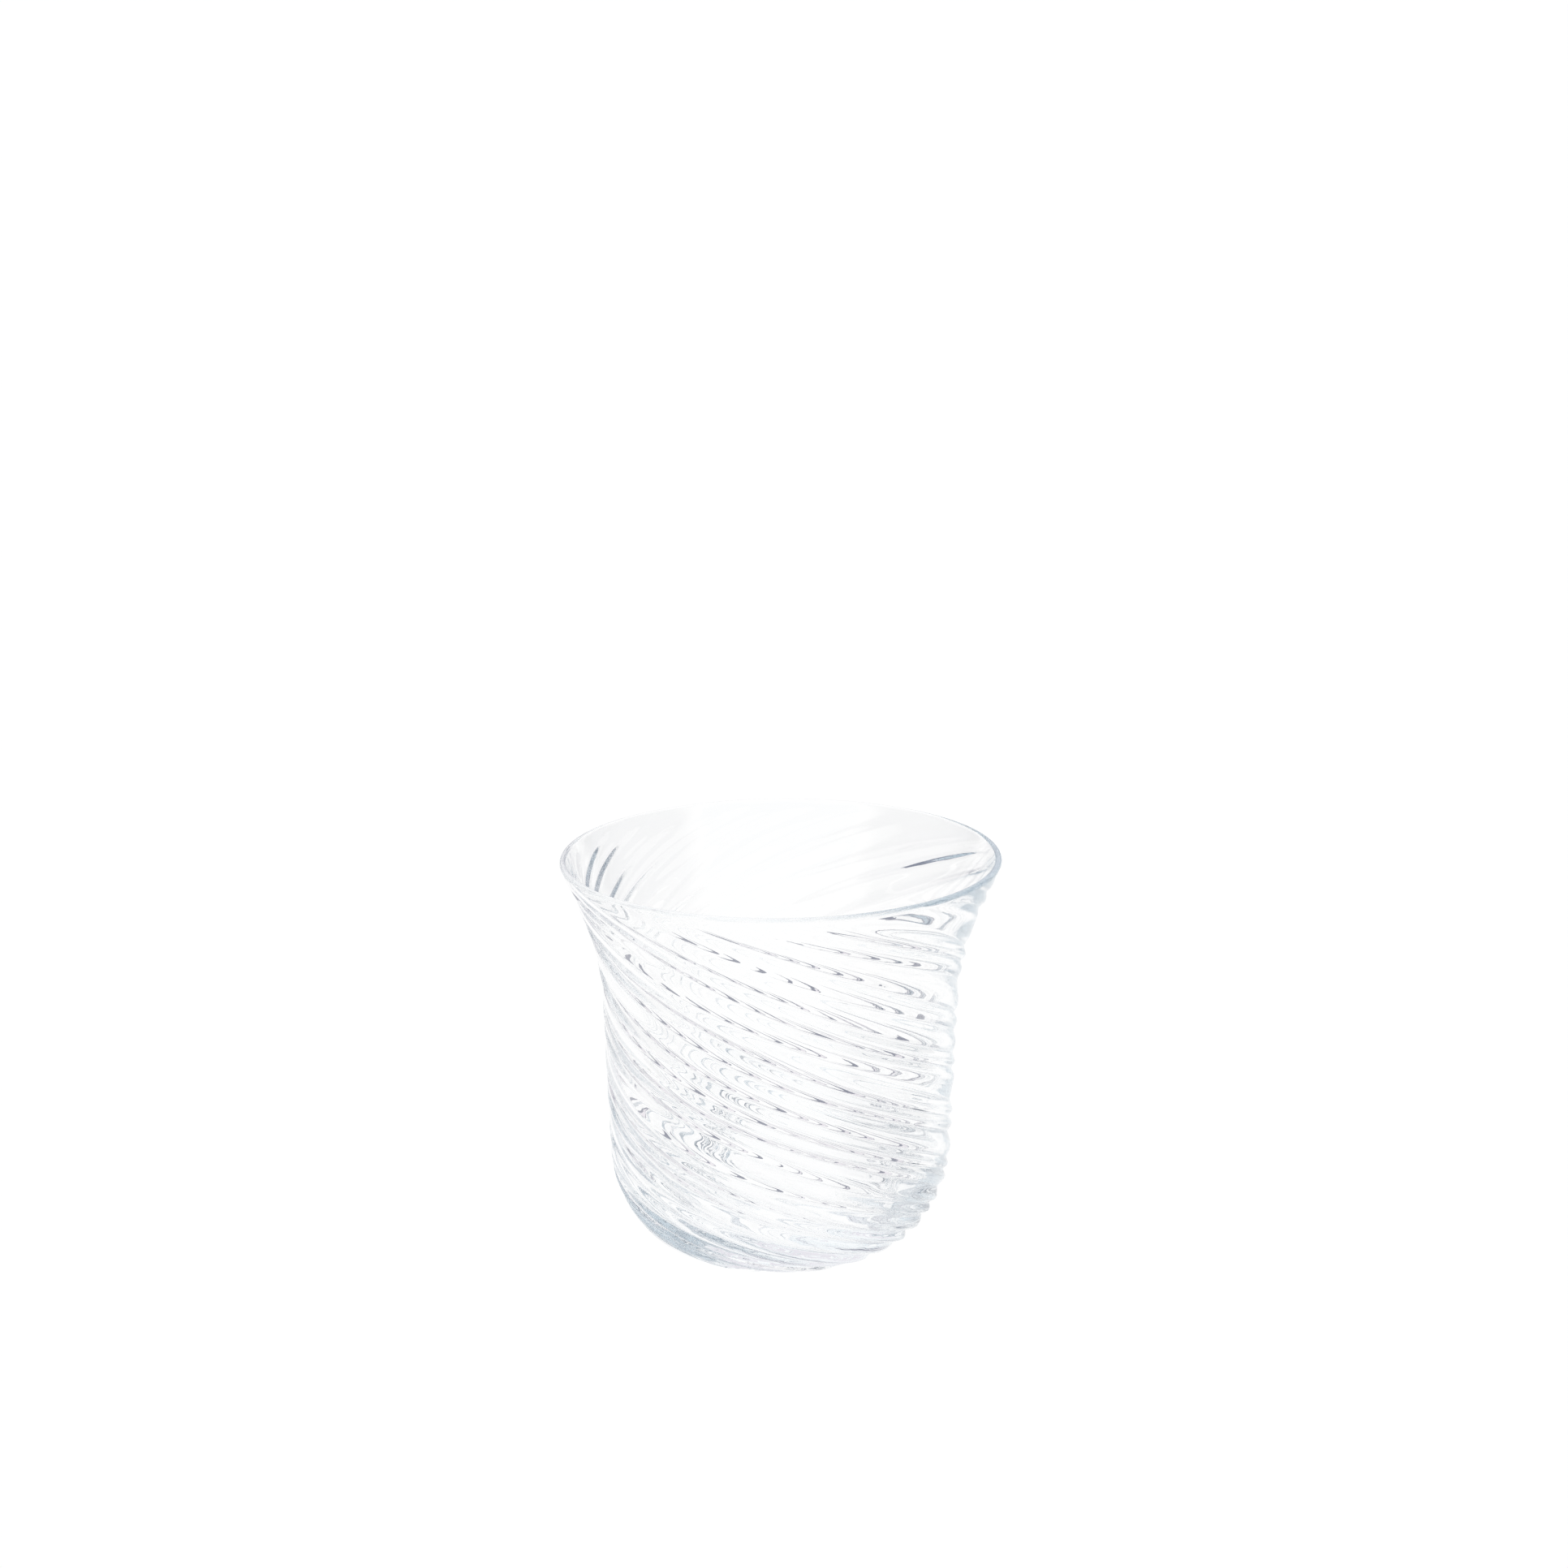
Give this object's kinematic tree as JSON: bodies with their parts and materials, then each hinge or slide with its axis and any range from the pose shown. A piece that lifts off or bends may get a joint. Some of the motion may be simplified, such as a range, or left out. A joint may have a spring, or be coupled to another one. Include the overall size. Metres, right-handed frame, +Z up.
{
  "type": "glass tumbler",
  "caption": "Clear glass tumbler with a flared lip, nearly upright wall, rounded heel, flat foot and spiral ribs on the outside that fade out below the rim.",
  "frame": {"origin": "middle of the flat foot, on the surface the tumbler stands on", "axes": "+Z up along the tumbler's axis; +X and +Y are level and alike, since the tumbler is round"},
  "size_m": [0.09, 0.09, 0.0825],
  "materials": {
    "clear_glass": "fire-polished clear glass with a faint cool tint"
  },
  "bodies": {
    "root": {"glass_cup": "clear_glass"}
  },
  "joints": []
}
